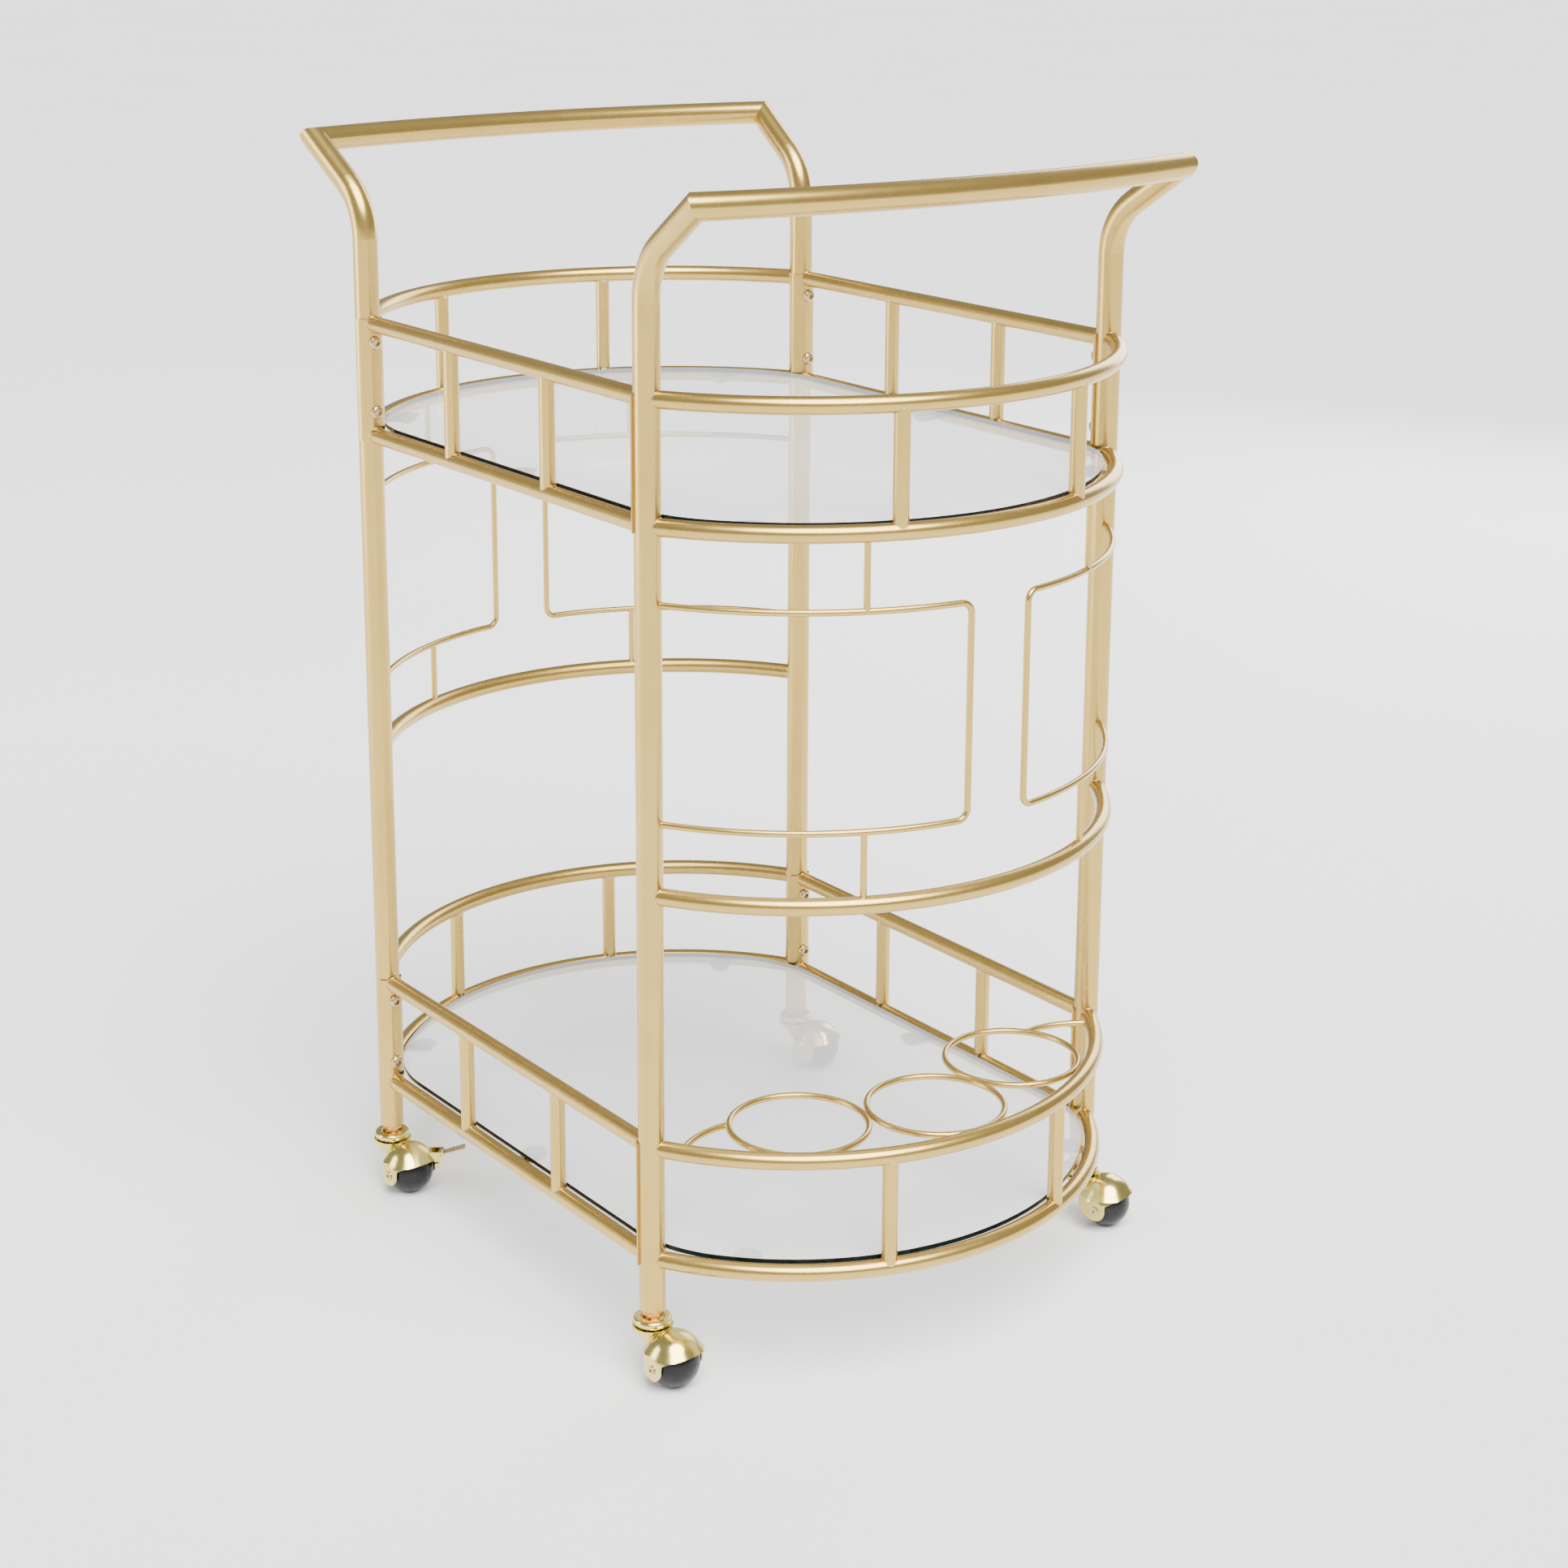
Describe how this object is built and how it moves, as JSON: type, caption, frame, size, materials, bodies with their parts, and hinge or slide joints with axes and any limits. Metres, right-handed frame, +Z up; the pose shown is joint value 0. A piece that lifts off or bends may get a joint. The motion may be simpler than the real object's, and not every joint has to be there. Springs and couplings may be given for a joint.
{
  "type": "bar cart",
  "caption": "Two-tier oval bar cart: bowed tube ends, push handles, side ladders, glass shelves, bottle rings and ball casters.",
  "frame": {"origin": "on the floor, midway between the four posts", "axes": "+Z up, +X along the cart towards the end with the bottle rings, -Y towards the front side"},
  "size_m": [0.6426, 0.4665, 0.8605],
  "materials": {
    "gold_frame": "satin champagne gold coat on steel tube",
    "shelf_glass": "clear tempered glass with a dark ground edge",
    "clear_pad": "clear soft vinyl",
    "ball_plastic": "black, satin gloss",
    "caster_brass": "polished bright brass plate",
    "stem_copper": "coppery brass plate",
    "plated_steel": "bright plated steel",
    "bolt_gold": "satin champagne gold plate",
    "plug_plastic": "black moulded nylon"
  },
  "bodies": {
    "frame": {"back_balusters": "gold_frame", "back_lower_side_rails": "gold_frame", "back_upper_side_rails": "gold_frame", "bottle_ring_arms": "gold_frame", "bottle_ring_back": "gold_frame", "bottle_ring_front": "gold_frame", "bottle_ring_middle": "gold_frame", "bow_balusters": "gold_frame", "caster_bearing_balls": "plated_steel", "caster_race_caps": "caster_brass", "caster_stems": "stem_copper", "front_balusters": "gold_frame", "front_lower_side_rails": "gold_frame", "front_upper_side_rails": "gold_frame", "glass_pads": "clear_pad", "glass_tabs": "gold_frame", "left_back_panel_wire": "gold_frame", "left_back_post": "gold_frame", "left_front_panel_wire": "gold_frame", "left_front_post": "gold_frame", "left_handle": "gold_frame", "left_lower_gallery_bow": "gold_frame", "left_lower_shelf_bow": "gold_frame", "left_mid_bow": "gold_frame", "left_upper_gallery_bow": "gold_frame", "left_upper_shelf_bow": "gold_frame", "lower_glass": "shelf_glass", "panel_studs": "gold_frame", "post_plugs": "plug_plastic", "post_saddles": "gold_frame", "right_back_panel_wire": "gold_frame", "right_back_post": "gold_frame", "right_front_panel_wire": "gold_frame", "right_front_post": "gold_frame", "right_handle": "gold_frame", "right_lower_gallery_bow": "gold_frame", "right_lower_shelf_bow": "gold_frame", "right_mid_bow": "gold_frame", "right_upper_gallery_bow": "gold_frame", "right_upper_shelf_bow": "gold_frame", "side_bolts": "bolt_gold", "thread_inserts": "plated_steel", "upper_glass": "shelf_glass"},
    "left_front_swivel": {"left_front_caster_hood": "caster_brass", "left_front_caster_axle": "plated_steel", "brake_bracket": "caster_brass", "brake_pin": "plated_steel"},
    "left_front_wheel": {"left_front_caster_ball": "ball_plastic"},
    "right_front_swivel": {"right_front_caster_hood": "caster_brass", "right_front_caster_axle": "plated_steel"},
    "right_front_wheel": {"right_front_caster_ball": "ball_plastic"},
    "left_back_swivel": {"left_back_caster_hood": "caster_brass", "left_back_caster_axle": "plated_steel"},
    "left_back_wheel": {"left_back_caster_ball": "ball_plastic"},
    "right_back_swivel": {"right_back_caster_hood": "caster_brass", "right_back_caster_axle": "plated_steel"},
    "right_back_wheel": {"right_back_caster_ball": "ball_plastic"},
    "brake": {"brake_lever": "plated_steel"}
  },
  "joints": [
    {"name": "left_front_swivel_turn", "type": "hinge", "parent": "frame", "child": "left_front_swivel", "pos_m": [-0.191, -0.208, 0.045], "axis": [0, 0, 1], "continuous": true},
    {"name": "left_front_wheel_spin", "type": "hinge", "parent": "left_front_swivel", "child": "left_front_wheel", "pos_m": [-0.16763, -0.20554, 0.019], "axis": [-0.1045, 0.9945, 0], "continuous": true},
    {"name": "right_front_swivel_turn", "type": "hinge", "parent": "frame", "child": "right_front_swivel", "pos_m": [0.191, -0.208, 0.045], "axis": [0, 0, 1], "continuous": true},
    {"name": "right_front_wheel_spin", "type": "hinge", "parent": "right_front_swivel", "child": "right_front_wheel", "pos_m": [0.21437, -0.20554, 0.019], "axis": [-0.1045, 0.9945, 0], "continuous": true},
    {"name": "left_back_swivel_turn", "type": "hinge", "parent": "frame", "child": "left_back_swivel", "pos_m": [-0.191, 0.208, 0.045], "axis": [0, 0, 1], "continuous": true},
    {"name": "left_back_wheel_spin", "type": "hinge", "parent": "left_back_swivel", "child": "left_back_wheel", "pos_m": [-0.16906, 0.21642, 0.019], "axis": [-0.3584, 0.9336, 0], "continuous": true},
    {"name": "right_back_swivel_turn", "type": "hinge", "parent": "frame", "child": "right_back_swivel", "pos_m": [0.191, 0.208, 0.045], "axis": [0, 0, 1], "continuous": true},
    {"name": "right_back_wheel_spin", "type": "hinge", "parent": "right_back_swivel", "child": "right_back_wheel", "pos_m": [0.21294, 0.21642, 0.019], "axis": [-0.3584, 0.9336, 0], "continuous": true},
    {"name": "brake_press", "type": "hinge", "parent": "left_front_swivel", "child": "brake", "pos_m": [-0.1532, -0.18415, 0.0322], "axis": [-0.829, 0.5592, 0], "range_deg": [0, 8], "stiffness_Nm_per_rad": 0.02}
  ]
}
